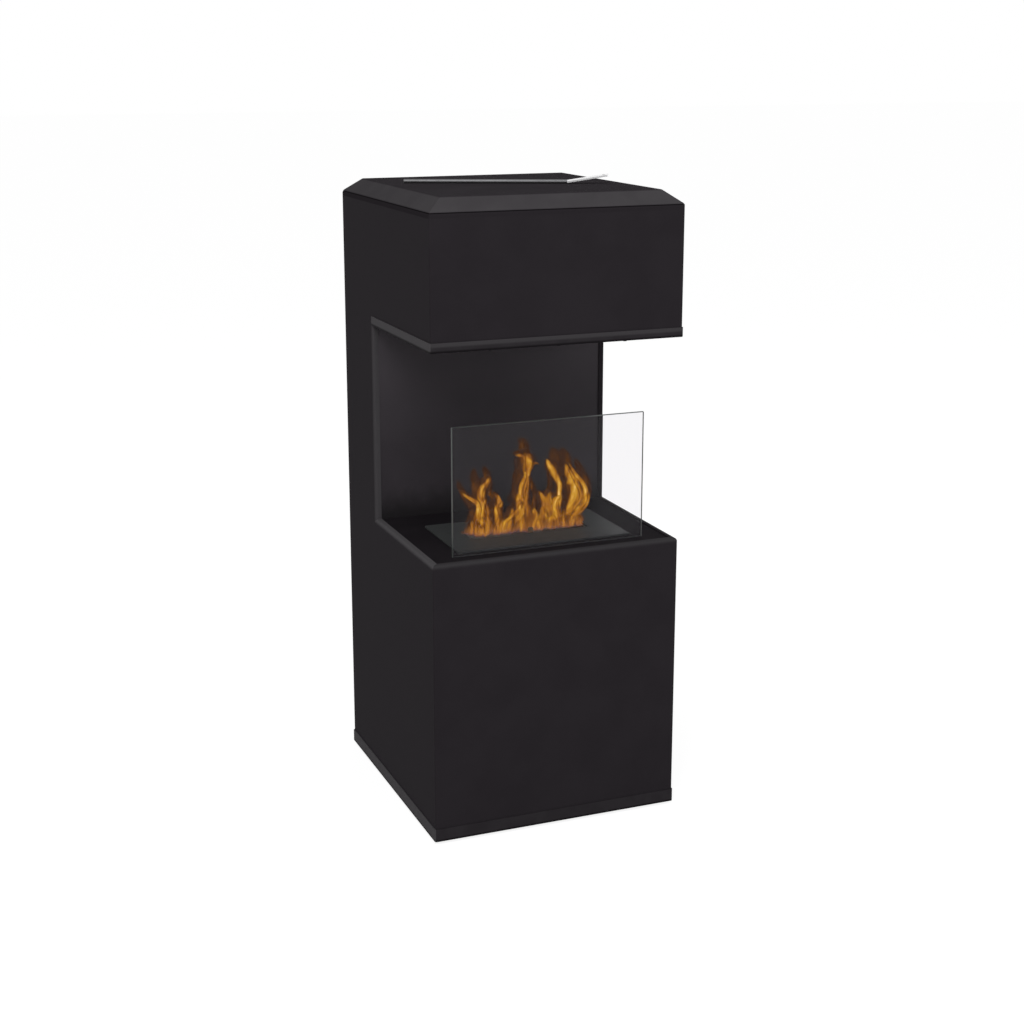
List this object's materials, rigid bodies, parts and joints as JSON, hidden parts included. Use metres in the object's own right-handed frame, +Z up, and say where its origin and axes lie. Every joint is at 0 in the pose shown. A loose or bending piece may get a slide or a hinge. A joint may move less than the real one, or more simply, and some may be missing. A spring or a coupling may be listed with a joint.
{
  "type": "bioethanol fireplace",
  "caption": "Free-standing black steel tower fireplace, open to the front and sides between base and hood, with a lift-out bioethanol burner, sliding damper and glass screen.",
  "frame": {"origin": "on the floor under the middle of the tower", "axes": "+Z up, -Y out of the front, +X to the right seen from the front"},
  "size_m": [0.413, 0.438, 1.0154],
  "materials": {
    "black_powder_coat": "satin",
    "black_shelf_coat": "satin",
    "band_powder_coat": "satin",
    "zinc_steel": "satin",
    "burner_steel": "brushed",
    "burner_plate_steel": "satin",
    "ceramic_wool": "matt",
    "clear_glass": "polished",
    "silicone": "matt",
    "foot_plastic": "matt",
    "tool_steel": "satin",
    "tool_bright_steel": "polished"
  },
  "bodies": {
    "tower": {"left_side_panel": "black_powder_coat", "right_side_panel": "black_powder_coat", "base_front_panel": "black_powder_coat", "hood_front_panel": "black_powder_coat", "rear_panel": "black_powder_coat", "rear_panel_screws": "zinc_steel", "wall_fixing_bar": "zinc_steel", "fire_back_wall": "black_powder_coat", "back_wall_stiffener_lower": "zinc_steel", "back_wall_stiffener_upper": "zinc_steel", "shelf_plate": "black_shelf_coat", "shelf_rail_front": "zinc_steel", "shelf_rail_back": "zinc_steel", "hood_tray": "band_powder_coat", "hood_tray_screws": "zinc_steel", "base_tray": "band_powder_coat", "base_tray_screws": "zinc_steel", "top_cap": "black_powder_coat", "burner_well": "burner_steel", "glass_channel": "zinc_steel", "glass_channel_liner": "silicone", "foot_bosses": "zinc_steel"},
    "burner": {"burner_tank": "burner_steel", "burner_top_plate": "burner_plate_steel", "wick_block": "ceramic_wool", "damper_guide_left": "burner_steel", "damper_guide_right": "burner_steel"},
    "damper": {"damper_plate": "burner_steel", "damper_tab": "burner_steel"},
    "glass": {"glass_pane": "clear_glass"},
    "regulator_tool": {"tool_shank": "tool_steel", "tool_blade": "tool_bright_steel"},
    "foot_front_left": {"foot_pad_front_left": "foot_plastic", "foot_stud_front_left": "zinc_steel"},
    "foot_front_right": {"foot_pad_front_right": "foot_plastic", "foot_stud_front_right": "zinc_steel"},
    "foot_back_left": {"foot_pad_back_left": "foot_plastic", "foot_stud_back_left": "zinc_steel"},
    "foot_back_right": {"foot_pad_back_right": "foot_plastic", "foot_stud_back_right": "zinc_steel"}
  },
  "joints": [
    {"name": "damper_slide", "type": "slide", "parent": "burner", "child": "damper", "axis": [0, 1, 0], "range_m": [0, 0.034]},
    {"name": "burner_lift", "type": "slide", "parent": "tower", "child": "burner", "axis": [0, 0, 1], "range_m": [0, 0.12]},
    {"name": "glass_lift", "type": "slide", "parent": "tower", "child": "glass", "axis": [0, 0, 1], "range_m": [0, 0.1]},
    {"name": "tool_lift", "type": "slide", "parent": "tower", "child": "regulator_tool", "axis": [0, 0, 1], "range_m": [0, 0.1]},
    {"name": "foot_screw_front_left", "type": "slide", "parent": "tower", "child": "foot_front_left", "axis": [0, 0, -1], "range_m": [0, 0.01]},
    {"name": "foot_screw_front_right", "type": "slide", "parent": "tower", "child": "foot_front_right", "axis": [0, 0, -1], "range_m": [0, 0.01]},
    {"name": "foot_screw_back_left", "type": "slide", "parent": "tower", "child": "foot_back_left", "axis": [0, 0, -1], "range_m": [0, 0.01]},
    {"name": "foot_screw_back_right", "type": "slide", "parent": "tower", "child": "foot_back_right", "axis": [0, 0, -1], "range_m": [0, 0.01]}
  ]
}
